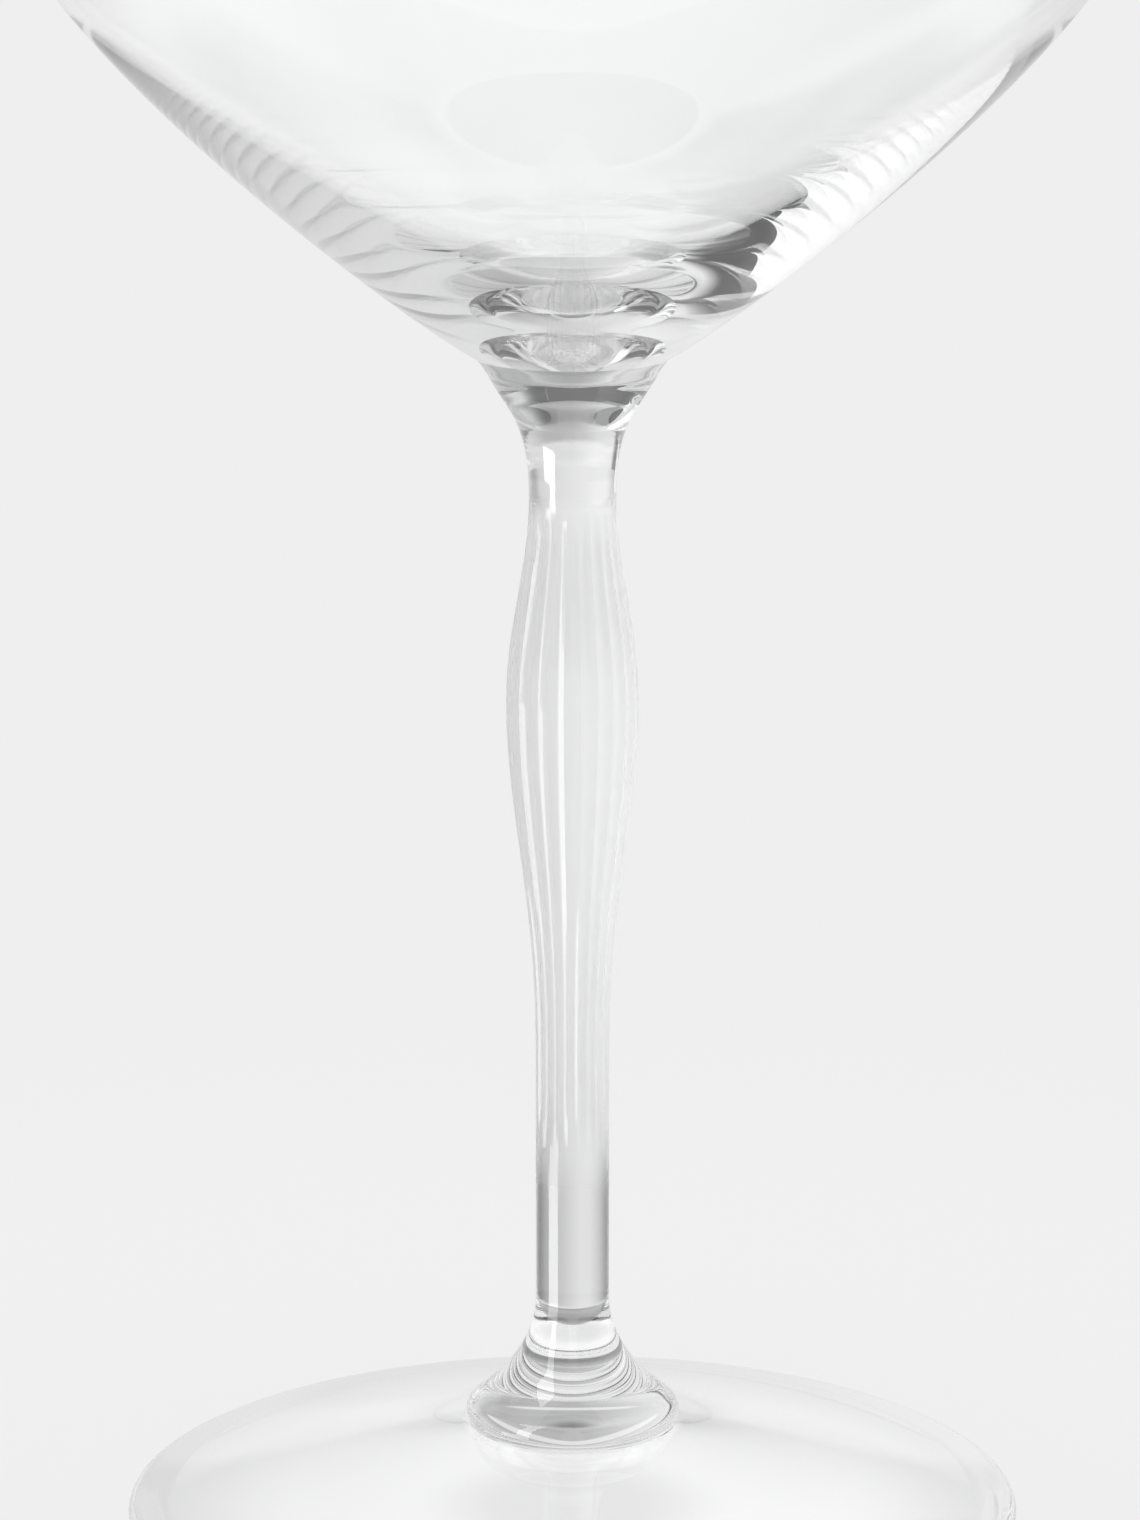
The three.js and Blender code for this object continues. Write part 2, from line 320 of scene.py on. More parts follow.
class StudioSettings(PropertyGroup):
    """The studio and its lights. Climbs are sines of the angle above the horizon."""

    low_climb: share("Low climb", "Climb up to which the studio is as it is at table height", 0.18)
    high_climb: share("High climb", "Climb from which it is as it is higher up", 0.25)
    wall_climb: share("Wall climb", "Climb at which the walls end", 0.72)
    ceiling_climb: share("Ceiling climb", "Climb from which only the ceiling shows", 0.9)
    horizon_climb: share("Horizon climb", "Climb, up and down, over which the horizon is blurred", 0.03)
    below: level("Below", "Brightness of all that lies under the horizon, in reflections", 0.75)
    ceiling: level("Ceiling", "Brightness of the studio overhead, through the glass", 0.15)
    ceiling_mirrored: level("Mirrored ceiling", "Brightness of the studio overhead, in reflections", 0.8)
    fill: level("Fill", "Brightness of the light that falls on the floor from all sides", 0.5)
    left_centre: vector("Left softbox", "Centre of the softbox on the left", (-320, -10, 200))
    left_width: vector("Left width", "Its lower side", (0, -330, 0))
    left_height: vector("Left height", "Its upright side", (0, 0, 360))
    left_through: level("Left through", "Its brightness through the glass", 1.2)
    left_mirrored: level("Left mirrored", "Its brightness in reflections", 0.6)
    front_centre: vector("Front softbox", "Centre of the softbox at the front left", (-356, -181, 370))
    front_width: vector("Front width", "Its lower side", (108, -214, 0))
    front_height: vector("Front height", "Its upright side", (0, 0, 1060))
    front_through: level("Front through", "Its brightness through the glass", 0.33)
    front_mirrored: level("Front mirrored", "Its brightness in reflections", 4.5)
    lamp_place: vector("Overhead lamp", "Place of the lamp that casts the shadow", (0, 100, 900))
    lamp_size: length("Lamp size", "Side of that lamp", 500)
    lamp_power: number("Lamp power", "Power of that lamp in watts", 6, 0, "POWER")


class WineGlass(PropertyGroup):
    """All the settings of the wine glass."""

    foot: PointerProperty(type=FootSizes)
    foot_collar: PointerProperty(type=FootCollarSizes)
    stem: PointerProperty(type=StemSizes)
    bowl_collar: PointerProperty(type=BowlCollarSizes)
    bowl: PointerProperty(type=BowlSizes)
    finish: PointerProperty(type=GlassFinish)
    camera: PointerProperty(type=CameraSettings)
    floor: PointerProperty(type=FloorSettings)
    studio: PointerProperty(type=StudioSettings)


GROUPS = (
    ("foot", FootSizes),
    ("foot_collar", FootCollarSizes),
    ("stem", StemSizes),
    ("bowl_collar", BowlCollarSizes),
    ("bowl", BowlSizes),
    ("finish", GlassFinish),
    ("camera", CameraSettings),
    ("floor", FloorSettings),
    ("studio", StudioSettings),
)


# Profiles: arrays of (radius, height) points that run up the outside of a piece


def point(radius, height):
    """A point of a profile."""
    return np.array((radius, height), float)


def lean(start, tilt, distance):
    """Moves a point by a distance in a direction that leans outwards from straight up by a tilt."""
    return start + distance * np.array((math.sin(tilt), math.cos(tilt)))


def bend(start, out, back, end, rows):
    """Cubic curve: the sum of four points weighted by (1-t)^3, 3t(1-t)^2, 3t^2(1-t) and t^3, while t goes
    evenly from 0 to 1."""
    t = np.linspace(0, 1, rows + 1)[:, None]
    u = 1 - t
    return u**3 * start + 3 * t * u**2 * out + 3 * t**2 * u * back + t**3 * end


def arc(centre, radius, start, end, rows):
    """Circle: the centre plus the radius times (cos a, sin a), with a going evenly from start to end."""
    a = np.linspace(start, end, rows + 1)
    return centre + radius * np.stack((np.cos(a), np.sin(a)), axis=1)


def straight(start, end, rows):
    """Straight line: start times (1-t) plus end times t, t from 0 to 1."""
    t = np.linspace(0, 1, rows + 1)[:, None]
    return (1 - t) * start + t * end


def chain(*stretches):
    """Joins stretches end to end and drops each point that repeats the one before it."""
    points = np.vstack(stretches)
    step = np.linalg.norm(np.diff(points, axis=0), axis=1)
    return points[np.concatenate(((True,), step > SAME_POINT))]


def ease(height, start, end, power=1):
    """Half a cosine wave: 0 below start, 1 above end, and (1 - cos(pi s^p)) / 2 between them, where s is
    the share of the way and p the power."""
    s = np.clip((height - start) / (end - start), 0, 1)
    return (1 - np.cos(np.pi * s**power)) / 2


# Turned pieces


class End(NamedTuple):
    """An end of a turned piece: the height of the point on the axis that closes it, and whether it is
    hidden in a fused joint."""

    height: float
    fused: bool


def turned_points(profile, low, high, hollow):
    """Points of a turned piece: a grid, row by row, and the points on the axis that close its two ends.

    A grid point has the radius and height of its row, less the hollow pressed in at its column, and lies at
    (r sin a, -r cos a, z), where a runs once round from the front.
    """
    turn = np.arange(COLUMNS) * 2 * np.pi / COLUMNS
    radius = np.repeat(profile[:, :1], COLUMNS, axis=1)
    if hollow is not None:
        radius = radius - hollow(profile[:, 1:], turn[None, :])
    height = np.repeat(profile[:, 1:], COLUMNS, axis=1)
    grid = np.stack((radius * np.sin(turn), -radius * np.cos(turn), height), axis=2).reshape(-1, 3)
    poles = np.array(((0, 0, low.height), (0, 0, high.height)), float)
    return np.vstack((grid, poles))


def turned_faces(rows):
    """Faces of a turned piece, as numbers of its points: a quad between each two rows and columns, and a
    fan of triangles from the first and from the last row to its point on the axis."""
    here = np.arange(COLUMNS)
    there = np.roll(here, -1)
    up = np.arange(rows - 1)[:, None] * COLUMNS
    quads = np.stack((up + here, up + there, up + COLUMNS + there, up + COLUMNS + here), axis=2)
    last = (rows - 1) * COLUMNS
    low_pole = np.full(COLUMNS, rows * COLUMNS)
    low_fan = np.stack((there, here, low_pole), axis=1)
    high_fan = np.stack((last + here, last + there, low_pole + 1), axis=1)
    return quads.reshape(-1, 4), low_fan, high_fan


def turned_piece(name, profile, low, high, hollow=None):
    """Revolves a profile about the Z axis and closes it at its low and high end.

    The faces that close a fused end take the second material, and all others the first one.
    """
    points = turned_points(profile, low, high, hollow)
    quads, low_fan, high_fan = turned_faces(len(profile))
    corners = np.concatenate((quads.ravel(), low_fan.ravel(), high_fan.ravel()))
    counts = (len(quads), len(low_fan), len(high_fan))
    sizes = np.repeat((4, 3, 3), counts)
    starts = np.cumsum(sizes) - sizes
    materials = np.repeat((0, int(low.fused), int(high.fused)), counts)

    mesh = bpy.data.meshes.new(name)
    mesh.vertices.add(len(points))
    mesh.vertices.foreach_set("co", points.ravel())
    mesh.loops.add(len(corners))
    mesh.loops.foreach_set("vertex_index", corners.astype(np.int32))
    mesh.polygons.add(len(sizes))
    mesh.polygons.foreach_set("loop_start", starts.astype(np.int32))
    mesh.polygons.foreach_set("material_index", materials.astype(np.int32))
    mesh.polygons.foreach_set("use_smooth", np.ones(len(sizes), bool))
    mesh.update(calc_edges=True)
    last = (len(profile) - 1) * COLUMNS
    mark_sharp(mesh, [ring for ring, end in ((0, low), (last, high)) if end.fused])
    if mesh.validate():
        raise RuntimeError(f"the mesh of {name} had bad faces")
    piece = bpy.data.objects.new(name, mesh)
    bpy.context.scene.collection.objects.link(piece)
    return piece


def mark_sharp(mesh, rings):
    """Keeps ridges and creases crisp, and the shading of a wall apart from the hidden face that closes it.

    An edge is sharp where its faces meet at a clear angle, and where its two ends both lie in a ring of
    columns that starts at one of the given point numbers.
    """
    mesh.set_sharp_from_angle(angle=RIDGE_ANGLE)
    ends = np.empty(2 * len(mesh.edges), np.int32)
    mesh.edges.foreach_get("vertices", ends)
    ends = ends.reshape(-1, 2)
    sharp = np.zeros(len(ends), bool)
    mesh.edges.foreach_get("use_edge_sharp", sharp)
    for ring in rings:
        sharp |= ((ends >= ring) & (ends < ring + COLUMNS)).all(axis=1)
    mesh.edges.foreach_set("use_edge_sharp", sharp)


# Materials


class Nodes:
    """One node tree. An input of a node is given as a constant, or as the output that is linked to it."""

    def __init__(self, tree):
        self.tree = tree
        tree.nodes.clear()

    def add(self, kind, inputs=None, **settings):
        """Adds a node with its settings and inputs."""
        node = self.tree.nodes.new(kind)
        for name, value in settings.items():
            setattr(node, name, value)
        self.feed(node, inputs or {})
        return node

    def feed(self, node, inputs):
        """Sets or links inputs of a node."""
        for name, value in inputs.items():
            if isinstance(value, NodeSocket):
                self.tree.links.new(value, node.inputs[name])
            else:
                node.inputs[name].default_value = value

    def rays(self):
        """What kind of ray is looking."""
        return self.add("ShaderNodeLightPath").outputs

    def place(self, kind):
        """The place or direction that is looked at."""
        return self.add("ShaderNodeTexCoord").outputs[kind]

    def axes(self, place):
        """X, Y and Z of a place or direction."""
        return self.add("ShaderNodeSeparateXYZ", {"Vector": place}).outputs

    def calculate(self, operation, *numbers):
        """One step of arithmetic."""
        node = self.add("ShaderNodeMath", dict(enumerate(numbers)), operation=operation)
        return node.outputs["Value"]

    def ramp(self, value, start, end, low=0, high=1, shape="SMOOTHSTEP"):
        """Goes from low to high while a value goes from start to end, and stays level outside."""
        node = self.add("ShaderNodeMapRange", {
            "Value": value, "From Min": start, "From Max": end, "To Min": low, "To Max": high,
        }, interpolation_type=shape)
        return node.outputs["Result"]

    def compass(self, axes):
        """Compass angle from 0 to 1: a half lies straight behind the glass, and less on the left."""
        turn = self.calculate("ARCTAN2", axes["X"], axes["Y"])
        return self.ramp(turn, -math.pi, math.pi, shape="LINEAR")

    def greys(self, along, levels):
        """Grey levels by compass angle, with straight stretches between them."""
        node = self.add("ShaderNodeValToRGB", {"Fac": along})
        elements = node.color_ramp.elements
        elements.remove(elements[-1])
        for i, (degrees, brightness) in enumerate(levels):
            position = degrees / FULL_TURN + 0.5
            element = elements.new(position) if i else elements[0]
            element.position = position
            element.color = grey(brightness)
        return node.outputs["Color"]

    def blend(self, share_of, first, second):
        """Goes from the first number to the second one while a share goes from 0 to 1."""
        node = self.add("ShaderNodeMix", {"Factor": share_of, "A": first, "B": second}, data_type="FLOAT")
        return node.outputs["Result"]

    def mix(self, share_of, first, second):
        """Goes from the first shader to the second one while a share goes from 0 to 1."""
        return self.add("ShaderNodeMixShader", {"Fac": share_of, 1: first, 2: second}).outputs["Shader"]

    def emission(self, colour):
        """A surface that shines by itself."""
        return self.add("ShaderNodeEmission", {"Color": colour}).outputs["Emission"]

    def background(self, colour):
        """A sky that shines by itself."""
        return self.add("ShaderNodeBackground", {"Color": colour}).outputs["Background"]


def grey(brightness):
    """A grey colour."""
    return (brightness, brightness, brightness, 1)


def new_material(name):
    """A material, and its node tree with nothing in it."""
    material = bpy.data.materials.new(name)
    material.use_nodes = True
    return material, Nodes(material.node_tree)


def glass_material(name, finish, satin):
    """Clear crystal that refracts, with light passing straight on into the shadow.

    Faint waves lift the surface by a hair, as hot-worked glass is never quite even. Satin glass also has a
    fine grain, a roughness that fades to polish at both ends, and a polished gloss over it.
    """
    material, nodes = new_material(name)
    place = nodes.place("Object")
    normal = lifted(
        nodes, place,
        finish.wave_scale, finish.wave_detail, finish.wave_roughness, finish.wave_height,
    )
    glass = nodes.add("ShaderNodeBsdfPrincipled", {
        "Base Color": (*finish.tint, 1),
        "Roughness": finish.polish,
        "IOR": finish.bending,
        "Transmission Weight": 1,
    })
    if satin:
        grain = lifted(
            nodes, place,
            finish.grain_scale, finish.grain_detail, finish.grain_roughness, finish.grain_height,
        )
        nodes.feed(grain, {"Normal": normal.outputs["Normal"]})
        normal = grain
        nodes.feed(glass, {
            "Roughness": satin_roughness(nodes, place, finish),
            "Coat Weight": finish.gloss,
            "Coat Roughness": finish.gloss_roughness,
        })
    nodes.feed(glass, {"Normal": normal.outputs["Normal"]})
    passing = nodes.add("ShaderNodeBsdfTransparent", {"Color": grey(finish.shadow)})
    shader = nodes.mix(nodes.rays()["Is Shadow Ray"], glass.outputs["BSDF"], passing.outputs["BSDF"])
    nodes.add("ShaderNodeOutputMaterial", {"Surface": shader})
    return material


def lifted(nodes, place, scale, detail, roughness, height):
    """A surface lifted by noise, by up to a height."""
    noise = nodes.add("ShaderNodeTexNoise", {
        "Vector": place, "Scale": scale, "Detail": detail, "Roughness": roughness,
    })
    return nodes.add("ShaderNodeBump", {"Strength": 1, "Distance": height, "Height": noise.outputs["Fac"]})


def satin_roughness(nodes, place, finish):
    """Roughness by height: the lesser of a rise from polish at the satin's foot and a fall at its top."""
    height = nodes.axes(place)["Z"]
    foot_end = finish.satin_foot + finish.satin_foot_fade
    top_start = finish.satin_top - finish.satin_top_fade
    rise = nodes.ramp(height, finish.satin_foot, foot_end, finish.polish, finish.satin)
    fall = nodes.ramp(height, top_start, finish.satin_top, finish.satin, finish.polish)
    return nodes.calculate("MINIMUM", rise, fall)


def fused_material():
    """The inside of a fused joint: one glass runs on into the other, so the face between them shows
    nothing."""
    material, nodes = new_material("fused_joint")
    clear = nodes.add("ShaderNodeBsdfTransparent", {"Color": grey(1)})
    nodes.add("ShaderNodeOutputMaterial", {"Surface": clear.outputs["BSDF"]})
    return material


def finished(piece, node, slot, finish):
    """Gives a piece its glass and its fused faces, and puts it in the frame in place of its solid."""
    satin = slot == "satin_glass"
    glass = bpy.data.materials.get(slot + "_finish") or glass_material(slot + "_finish", finish, satin)
    fused = bpy.data.materials.get("fused_joint") or fused_material()
    piece.data.materials.append(glass)
    piece.data.materials.append(fused)
    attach(piece, "root")
    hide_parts(node)


# Operators


class GLASS_OT_foot(Operator):
    """Makes the round foot with its hollow underside."""

    bl_idname = "wine_glass.foot"
    bl_label = "Foot"

    def execute(self, context):
        glass = context.scene.wine_glass
        hollow = FOOT_SEAT - glass.foot.middle
        profile = self.profile(glass.foot, glass.foot_collar, hollow)
        piece = turned_piece("foot_disc", profile, End(hollow, False), End(FOOT_SEAT, True))
        finished(piece, "foot", "clear_glass", glass.finish)
        return {"FINISHED"}

    def profile(self, s, collar, hollow):
        """From the top of the hollow out to the ring that the glass stands on, round the edge, up to the
        bead and in to its seat, which is as wide as the bead's circle is at the height of the foot. The
        hollow ends with the mean slope of the top, and the top itself with a share of that slope."""
        half = s.edge / 2
        outer = s.radius - half
        inner = outer - s.ring
        slope = (FOOT_SEAT - s.edge) / (outer - collar.bead)
        third = (outer - collar.bead) / 3
        climb = third * slope * s.end_slope
        seat = collar.bead - collar.rounding + math.sqrt(collar.rounding**2 - collar.widest**2)
        under = bend(
            point(0, hollow),
            point(s.hollow_reach, hollow),
            point(2 * inner / 3, inner / 3 * slope),
            point(inner, 0),
            HOLLOW_ROWS,
        )[1:]
        ring = straight(point(inner, 0), point(outer, 0), REST_RING_ROWS)
        edge = arc(point(outer, half), half, -math.pi / 2, math.pi / 2, FOOT_EDGE_ROWS)
        top = bend(
            point(outer, s.edge),
            point(outer - third, s.edge + climb),
            point(collar.bead + third, FOOT_SEAT - climb),
            point(collar.bead, FOOT_SEAT),
            FOOT_TOP_ROWS,
        )
        return chain(under, ring, edge, top, point(seat, FOOT_SEAT))


class GLASS_OT_collars(Operator):
    """Makes the two solid collars: the flare with its bead on the foot, and the cone under the bowl."""

    bl_idname = "wine_glass.collars"
    bl_label = "Collars"

    def execute(self, context):
        glass = context.scene.wine_glass
        flare = self.flare(glass.foot_collar, glass.stem)
        piece = turned_piece("foot_collar_flare", flare, End(FOOT_SEAT, True), End(STEM_FOOT, True))
        finished(piece, "foot_collar", "clear_glass", glass.finish)
        cone = self.cone(glass.bowl_collar, glass.stem)
        piece = turned_piece("bowl_collar_cone", cone, End(STEM_TOP, True), End(BOWL_BASE, True))
        finished(piece, "bowl_collar", "clear_glass", glass.finish)
        return {"FINISHED"}

    def flare(self, s, stem):
        """An arc for the bead, and a curve that leaves it with a crease and ends upright at the shaft."""
        centre = point(s.bead - s.rounding, FOOT_SEAT + s.widest)
        start = -math.asin(s.widest / s.rounding)
        end = math.asin((s.height - s.widest) / s.rounding)
        bead = arc(centre, s.rounding, start, end, BEAD_ROWS)
        crease = bead[-1]
        top = point(stem.shaft, STEM_FOOT)
        flare = bend(
            crease, lean(crease, -s.lean, s.lower_reach), lean(top, 0, -s.upper_reach), top, FLARE_ROWS
        )
        return chain(bead, flare)

    def cone(self, s, stem):
        """Two curves that meet smoothly at the shoulder."""
        bottom = point(stem.top, STEM_TOP)
        shoulder = point(s.shoulder, STEM_TOP + s.shoulder_height)
        top = point(s.radius, BOWL_BASE)
        lower = bend(
            bottom,
            lean(bottom, s.lean_below, s.reach),
            lean(shoulder, s.lean_shoulder, -s.reach),
            shoulder,
            CONE_ROWS,
        )
        upper = bend(
            shoulder,
            lean(shoulder, s.lean_shoulder, s.reach),
            lean(top, s.lean_above, -s.reach),
            top,
            CONE_ROWS,
        )
        return chain(lower, upper)


class GLASS_OT_stem(Operator):
    """Makes the swelling stem and presses its flutes."""

    bl_idname = "wine_glass.stem"
    bl_label = "Stem"

    def execute(self, context):
        glass = context.scene.wine_glass
        s = glass.stem
        height = np.linspace(0, STEM_TOP - STEM_FOOT, STEM_ROWS + 1)
        profile = np.stack((self.radius(height, s), STEM_FOOT + height), axis=1)

        def hollow(z, turn):
            """A flute's depth times |cos(n a / 2)|: n hollows lie side by side, and one faces the front."""
            return self.depth(z - STEM_FOOT, s) * np.abs(np.cos(s.flutes / 2 * turn))

        piece = turned_piece("stem_fluted", profile, End(STEM_FOOT, True), End(STEM_TOP, True), hollow)
        finished(piece, "stem", "satin_glass", glass.finish)
        return {"FINISHED"}

    def radius(self, height, s):
        """Radius over the ridges: the shaft eased into the swelling, the swelling eased into the neck, and
        the neck opening by a power of the height above its slimmest ring."""
        widest = s.shaft_length + s.lower_length
        neck = widest + s.upper_length
        neck_length = STEM_TOP - STEM_FOOT - neck
        swell = s.shaft + (s.swelling - s.shaft) * ease(height, s.shaft_length, widest, s.swelling_power)
        slim = (s.swelling - s.neck) * ease(height, widest, neck)
        opening = np.clip((height - neck) / neck_length, 0, 1) ** s.opening_power
        return swell - slim + (s.top - s.neck) * opening

    def depth(self, height, s):
        """Depth of the flutes: eased in along the shaft and eased out below the neck."""
        neck = s.shaft_length + s.lower_length + s.upper_length
        growing = ease(height, s.begin, s.begin + s.lower_fade)
        fading = 1 - ease(height, neck - s.upper_fade, neck)
        return s.depth * growing * fading


class GLASS_OT_bowl(Operator):
    """Makes the blown bowl, a thin wall that thickens towards its base, with a melted rim."""

    bl_idname = "wine_glass.bowl"
    bl_label = "Bowl"

    def execute(self, context):
        glass = context.scene.wine_glass
        floor = BOWL_BASE + glass.bowl.base_wall
        profile = self.profile(glass.bowl, glass.bowl_collar, floor)
        piece = turned_piece("bowl_blown", profile, End(BOWL_BASE, True), End(floor, False))
        finished(piece, "bowl", "clear_glass", glass.finish)
        return {"FINISHED"}

    def profile(self, s, collar, floor):
        """Up the outside in two curves that meet upright at the belly, over the rim in half a circle, and
        down the inside in two curves to the middle of the floor."""
        half = s.rim_wall / 2
        base = point(collar.radius, BOWL_BASE)
        belly = point(s.belly, BOWL_BASE + s.belly_height)
        inner_belly = point(s.belly - s.belly_wall, BOWL_BASE + s.belly_height)
        rim = point(s.rim, RIM_TOP - half)
        inner_rim = point(s.rim - s.rim_wall, RIM_TOP - half)
        lower = bend(
            base,
            lean(base, s.base_lean, s.base_reach),
            lean(belly, 0, -s.below_reach),
            belly,
            BOWL_OUTSIDE_ROWS,
        )
        upper = bend(
            belly,
            lean(belly, 0, s.above_reach),
            lean(rim, -s.rim_lean, -s.rim_reach),
            rim,
            BOWL_UPPER_ROWS,
        )
        melted = arc(point(s.rim - half, RIM_TOP - half), half, 0, math.pi, RIM_ROWS)
        inner_upper = bend(
            inner_rim,
            lean(inner_rim, -s.rim_lean, -s.rim_reach),
            lean(inner_belly, 0, s.above_reach),
            inner_belly,
            BOWL_UPPER_ROWS,
        )
        inner_lower = bend(
            inner_belly,
            lean(inner_belly, 0, -s.inner_reach),
            point(s.floor_reach, floor),
            point(0, floor),
            BOWL_INSIDE_ROWS,
        )[:-1]
        return chain(lower, upper, melted, inner_upper, inner_lower)


class GLASS_OT_stage(Operator):
    """Sets up the camera, the pale floor and the studio light."""

    bl_idname = "wine_glass.stage"
    bl_label = "Stage"

    def execute(self, context):
        scene = context.scene
        settings = scene.wine_glass
        scene.view_settings.view_transform = "Standard"
        scene.cycles.max_bounces = LIGHT_BOUNCES
        scene.cycles.glossy_bounces = LIGHT_BOUNCES
        scene.cycles.transmission_bounces = LIGHT_BOUNCES
        scene.cycles.transparent_max_bounces = LIGHT_BOUNCES
        self.camera(scene, settings.camera)
        self.floor(settings.floor)
        self.world(scene, settings.studio, settings.floor.background)
        self.softboxes(settings.studio)
        self.lamp(scene, settings.studio)
        return {"FINISHED"}

    def camera(self, scene, s):
        """A camera in front of the glass that looks down by its pitch."""
        data = bpy.data.cameras.new("camera")
        data.lens = s.lens
        data.sensor_fit = "HORIZONTAL"
        data.sensor_width = FRAME_WIDTH
        data.clip_start = SIGHT_START
        camera = bpy.data.objects.new("camera", data)
        camera.location = (s.side, -s.distance, s.height)
        camera.rotation_euler = (math.pi / 2 - s.pitch, 0, 0)
        scene.collection.objects.link(camera)
        scene.camera = camera

    def floor(self, s):
        """A level square.

        The camera sees it at the level of the background; near the glass a small share of that is lit by
        the lamp, so that it takes a faint shadow. Rays that have passed the glass see it shine with painted
        light and shade: a painted pool of light under the foot, then a table painted dark on both sides,
        then the pale floor beyond. Mirrored rays pass it and see the studio below it.
        """
        floor = flat_card("floor", (0, 0, -s.drop), (s.side, 0, 0), (0, s.side, 0))
        material, nodes = new_material("pale_floor")
        rays = nodes.rays()
        place = nodes.place("Object")
        axes = nodes.axes(place)
        away = nodes.add("ShaderNodeVectorMath", {0: place}, operation="LENGTH").outputs["Value"]
        along = nodes.compass(axes)
        deep = nodes.calculate("GREATER_THAN", rays["Transmission Depth"], BENDS_IN_ONE_WALL)

        near = self.near_floor(nodes, s, axes["X"], away, deep)
        table = nodes.greys(along, TABLE_LEVELS)
        beyond = self.floor_beyond(nodes, s, along, away, deep)
        inner = nodes.blend(nodes.ramp(away, s.near_end, s.table_start), near, table)
        whole = nodes.blend(nodes.ramp(away, s.table_end, s.pale_start), inner, beyond)

        # For rays through the glass the floor shines with this painted light and shade, though it is no
        # lamp
        through = nodes.emission(whole)
        mirrored = nodes.add("ShaderNodeBsdfTransparent").outputs["BSDF"]
        glassy = nodes.mix(rays["Is Transmission Ray"], mirrored, through)
        own = nodes.emission(grey(s.background))
        lit = nodes.add("ShaderNodeBsdfDiffuse", {"Color": grey(s.paint)}).outputs["BSDF"]
        shadowed = nodes.ramp(away, s.shadow_inside, s.shadow_outside, s.shadow, 0)
        direct = nodes.mix(shadowed, own, lit)
        shader = nodes.mix(rays["Is Camera Ray"], glassy, direct)
        nodes.add("ShaderNodeOutputMaterial", {"Surface": shader})
        floor.data.materials.append(material)

    def near_floor(self, nodes, s, sideways, away, deep):
        """The floor under the foot, a painted pool of light: brighter towards the right as painted light,
        with a painted shadow under the bead and painted shade under the foot's edge, and dim through more
        than one piece of glass."""
        left = s.near - s.near_light_tilt
        right = s.near + s.near_light_tilt
        # Painted light: brighter towards the right
        light_tilt = nodes.ramp(sideways, -s.near_side, s.near_side, left, right, "LINEAR")
        # Painted shadow under the bead
        bead_shadow = nodes.ramp(away, s.bead_shadow_inside, s.bead_shadow_outside, s.core, 1)
        # Painted shade under the foot's edge
        edge_shade = nodes.ramp(away, s.edge_shade_inside, s.edge_shade_outside, 1, s.edge)
        shaded = nodes.calculate("MULTIPLY", light_tilt, bead_shadow)
        rimmed = nodes.calculate("MULTIPLY", shaded, edge_shade)
        return nodes.blend(deep, rimmed, s.deep)

    def floor_beyond(self, nodes, s, along, away, deep):
        """The pale floor and its far part, brighter through both walls of the bowl."""
        middle = nodes.greys(along, FLOOR_LEVELS)
        far = nodes.greys(along, FAR_LEVELS)
        outer = nodes.blend(nodes.ramp(away, s.pale_end, s.far_start), middle, far)
        gain = nodes.calculate("MULTIPLY_ADD", deep, s.bowl_gain, 1)
        return nodes.calculate("MULTIPLY", outer, gain)

    def world(self, scene, s, background):
        """Flat background for the camera, and an even fill for the floor. Rays that have met the glass see
        the studio.

        One ramp by compass angle gives the studio at table height, another one gives it higher up: a
        backdrop that is brightest on the left, a dark gap, a pale wall on the right and dark on both sides
        of the camera. Overhead, mirrored rays see a wide lamp and rays through the glass a dim ceiling.
        Below the horizon, mirrored rays see one even level.
        """
        world = bpy.data.worlds.new("studio")
        world.use_nodes = True
        nodes = Nodes(world.node_tree)
        rays = nodes.rays()
        axes = nodes.axes(nodes.place("Generated"))
        along = nodes.compass(axes)
        low = nodes.greys(along, LOW_STUDIO_LEVELS)
        high = nodes.greys(along, HIGH_STUDIO_LEVELS)
        walls = nodes.blend(nodes.ramp(axes["Z"], s.low_climb, s.high_climb), low, high)
        overhead = nodes.blend(rays["Is Transmission Ray"], s.ceiling_mirrored, s.ceiling)
        around = nodes.blend(nodes.ramp(axes["Z"], s.wall_climb, s.ceiling_climb), walls, overhead)
        sinking = nodes.ramp(axes["Z"], s.horizon_climb, -s.horizon_climb, shape="LINEAR")
        mirrored = nodes.calculate("SUBTRACT", 1, rays["Is Transmission Ray"])
        under = nodes.calculate("MULTIPLY", sinking, mirrored)
        studio = nodes.background(nodes.blend(under, around, s.below))
        fill = nodes.background(grey(s.fill))
        direct = nodes.background(grey(background))
        steady = nodes.mix(rays["Is Diffuse Ray"], studio, fill)
        shader = nodes.mix(rays["Is Camera Ray"], steady, direct)
        nodes.add("ShaderNodeOutputWorld", {"Surface": shader})
        scene.world = world

    def softboxes(self, s):
        """A bright card on the left, seen through the glass, and a tall narrow one at the front left, seen
        in reflections. The camera sees neither of them."""
        left = flat_card("left_softbox", s.left_centre, s.left_width, s.left_height)
        glow(left, s.left_through, s.left_mirrored)
        front = flat_card("front_softbox", s.front_centre, s.front_width, s.front_height)
        glow(front, s.front_through, s.front_mirrored)

    def lamp(self, scene, s):
        """An overhead lamp that only lights the floor, for the shadow."""
        data = bpy.data.lights.new("overhead", "AREA")
        data.energy = s.lamp_power
        data.size = s.lamp_size
        lamp = bpy.data.objects.new("overhead", data)
        lamp.location = s.lamp_place
        scene.collection.objects.link(lamp)
        lamp.visible_camera = False
        lamp.visible_glossy = False
        lamp.visible_transmission = False


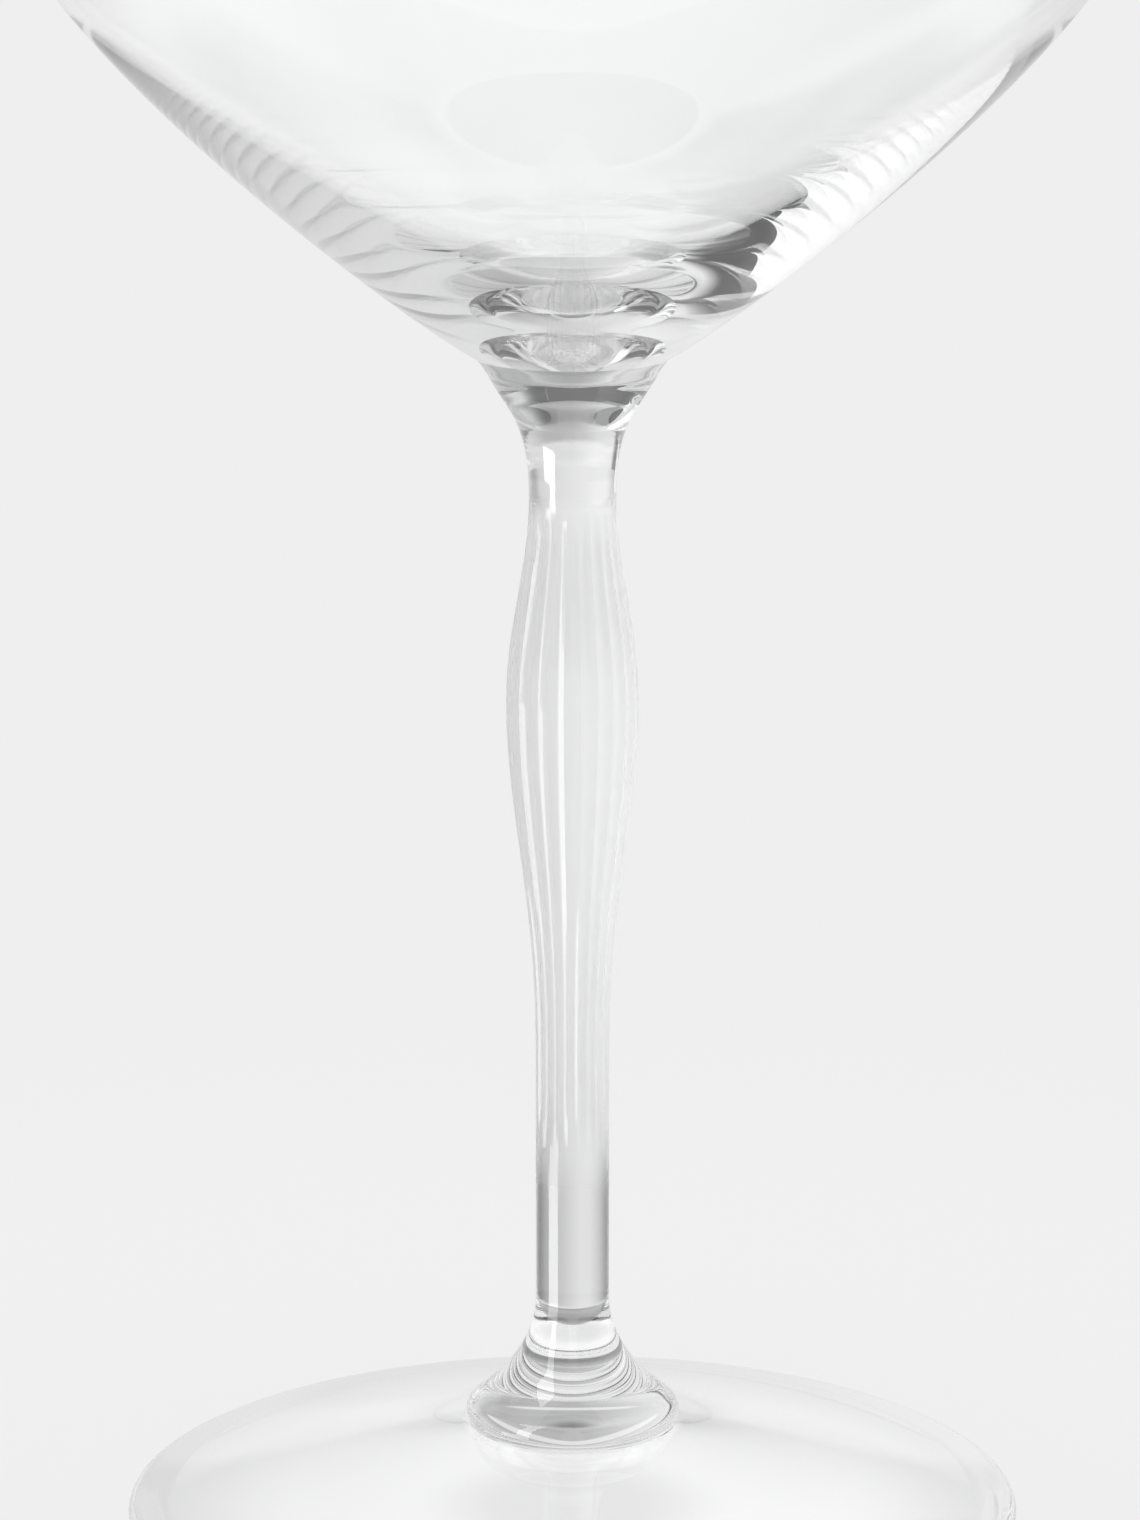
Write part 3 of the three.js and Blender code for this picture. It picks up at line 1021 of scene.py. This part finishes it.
def flat_card(name, centre, across, along):
    """A flat rectangle for the stage: the centre plus and minus half of each side."""
    signs = np.array(((-1, -1), (1, -1), (1, 1), (-1, 1)))
    corners = np.array(centre) + signs @ np.array((tuple(across), tuple(along))) / 2
    mesh = bpy.data.meshes.new(name)
    mesh.from_pydata(corners.tolist(), [], [(0, 1, 2, 3)])
    card = bpy.data.objects.new(name, mesh)
    bpy.context.scene.collection.objects.link(card)
    return card


def glow(card, through, mirrored):
    """Makes a card shine, at one level through the glass and at another one in its first reflection.
    Diffuse rays and the camera don't see it."""
    material, nodes = new_material(card.name + "_light")
    rays = nodes.rays()
    first = nodes.calculate("LESS_THAN", rays["Glossy Depth"], FIRST_REFLECTION)
    reflected = nodes.calculate("MULTIPLY", first, mirrored)
    strength = nodes.blend(rays["Is Transmission Ray"], reflected, through)
    light = nodes.add("ShaderNodeEmission", {"Color": grey(1), "Strength": strength})
    nodes.add("ShaderNodeOutputMaterial", {"Surface": light.outputs["Emission"]})
    card.data.materials.append(material)
    card.visible_camera = False
    card.visible_diffuse = False


class GLASS_PT_panel(Panel):
    """Lists the settings and the steps of the wine glass."""

    bl_idname = "GLASS_PT_panel"
    bl_label = "Wine Glass"
    bl_space_type = "VIEW_3D"
    bl_region_type = "UI"
    bl_category = "Wine Glass"

    def draw(self, context):
        settings = context.scene.wine_glass
        for name, group in GROUPS:
            box = self.layout.box()
            box.label(text=group.__doc__)
            for prop in group.__annotations__:
                box.prop(getattr(settings, name), prop)
        for operator in OPERATORS:
            self.layout.operator(operator.bl_idname)


OPERATORS = (GLASS_OT_stage, GLASS_OT_foot, GLASS_OT_collars, GLASS_OT_stem, GLASS_OT_bowl)
CLASSES = (*(group for _, group in GROUPS), WineGlass, *OPERATORS, GLASS_PT_panel)


def register():
    """Registers the classes and adds the settings to every scene."""
    for cls in CLASSES:
        bpy.utils.register_class(cls)
    bpy.types.Scene.wine_glass = PointerProperty(type=WineGlass)


def unregister():
    """Takes away what register added."""
    del bpy.types.Scene.wine_glass
    for cls in reversed(CLASSES):
        bpy.utils.unregister_class(cls)


def main():
    """Builds the stage and the glass."""
    register()
    bpy.ops.wine_glass.stage()
    bpy.ops.wine_glass.foot()
    bpy.ops.wine_glass.collars()
    bpy.ops.wine_glass.stem()
    bpy.ops.wine_glass.bowl()


if __name__ == "__main__":
    main()
